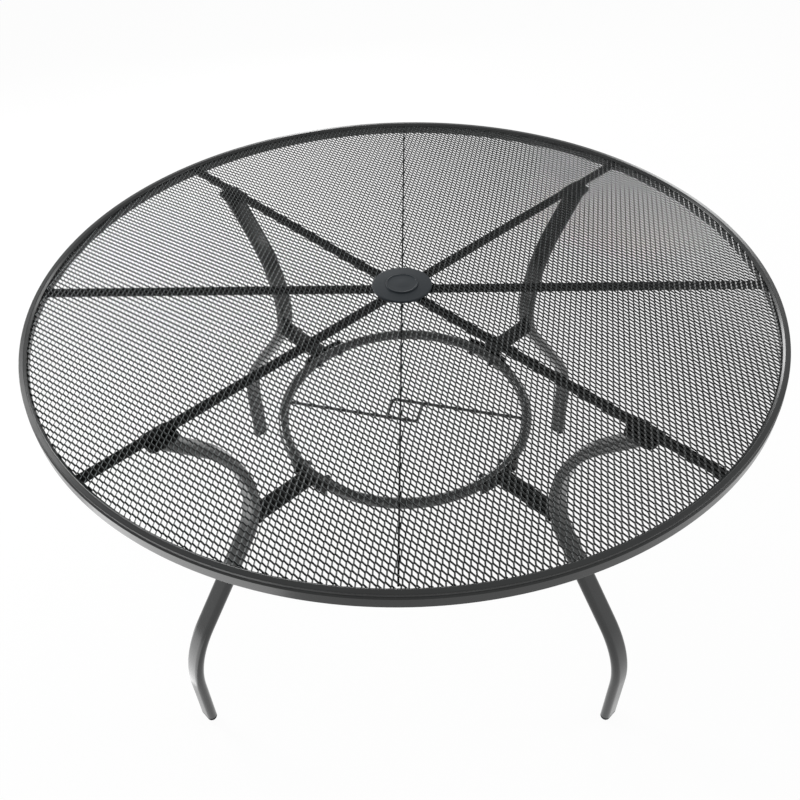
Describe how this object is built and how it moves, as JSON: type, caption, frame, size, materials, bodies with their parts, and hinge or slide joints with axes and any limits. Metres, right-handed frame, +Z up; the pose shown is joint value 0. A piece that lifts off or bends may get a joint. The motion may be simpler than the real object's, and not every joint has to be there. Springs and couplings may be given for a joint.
{
  "type": "umbrella table",
  "caption": "Round steel patio table with an expanded mesh top in two halves, a capped umbrella hole, four S-shaped legs, and a stretcher ring with a wire pole guide.",
  "frame": {"origin": "on the floor under the centre of the table top", "axes": "+Z up along the axis of the umbrella hole; +X along the cross bars, to the right in the picture; +Y away from the camera; the legs stand on the diagonals"},
  "size_m": [1.2118, 1.212, 0.7295],
  "materials": {
    "dark_coated_steel": "satin powder coat, dark charcoal",
    "charcoal_plastic": "moulded, fine satin",
    "blackened_fasteners": "black oxide"
  },
  "bodies": {
    "table": {"rim": "dark_coated_steel", "mesh_panel_left": "dark_coated_steel", "mesh_panel_right": "dark_coated_steel", "seam_strip_rear": "dark_coated_steel", "seam_strip_front": "dark_coated_steel", "cross_bar_right": "dark_coated_steel", "cross_bar_left": "dark_coated_steel", "diagonal_bar_rear_right": "dark_coated_steel", "diagonal_bar_rear_left": "dark_coated_steel", "diagonal_bar_front_left": "dark_coated_steel", "diagonal_bar_front_right": "dark_coated_steel", "hub_ring": "dark_coated_steel", "leg_rear_right": "dark_coated_steel", "leg_rear_left": "dark_coated_steel", "leg_front_left": "dark_coated_steel", "leg_front_right": "dark_coated_steel", "leg_pad_rear_right": "dark_coated_steel", "leg_pad_rear_left": "dark_coated_steel", "leg_pad_front_left": "dark_coated_steel", "leg_pad_front_right": "dark_coated_steel", "bar_plate_rear_right": "dark_coated_steel", "bar_plate_rear_left": "dark_coated_steel", "bar_plate_front_left": "dark_coated_steel", "bar_plate_front_right": "dark_coated_steel", "stretcher_ring": "dark_coated_steel", "arm_rear_right": "dark_coated_steel", "arm_rear_left": "dark_coated_steel", "arm_front_left": "dark_coated_steel", "arm_front_right": "dark_coated_steel", "arm_saddle_rear_right": "dark_coated_steel", "arm_saddle_rear_left": "dark_coated_steel", "arm_saddle_front_left": "dark_coated_steel", "arm_saddle_front_right": "dark_coated_steel", "guide_wire_left": "dark_coated_steel", "guide_wire_right": "dark_coated_steel", "umbrella_collar": "charcoal_plastic", "foot_glide_rear_right": "charcoal_plastic", "foot_glide_rear_left": "charcoal_plastic", "foot_glide_front_left": "charcoal_plastic", "foot_glide_front_right": "charcoal_plastic", "ring_bolts": "blackened_fasteners", "ring_nuts": "blackened_fasteners"},
    "cap": {"umbrella_cap": "charcoal_plastic"}
  },
  "joints": [
    {"name": "cap_lift", "type": "slide", "parent": "table", "child": "cap", "axis": [0, 0, 1], "range_m": [0, 0.2]}
  ]
}
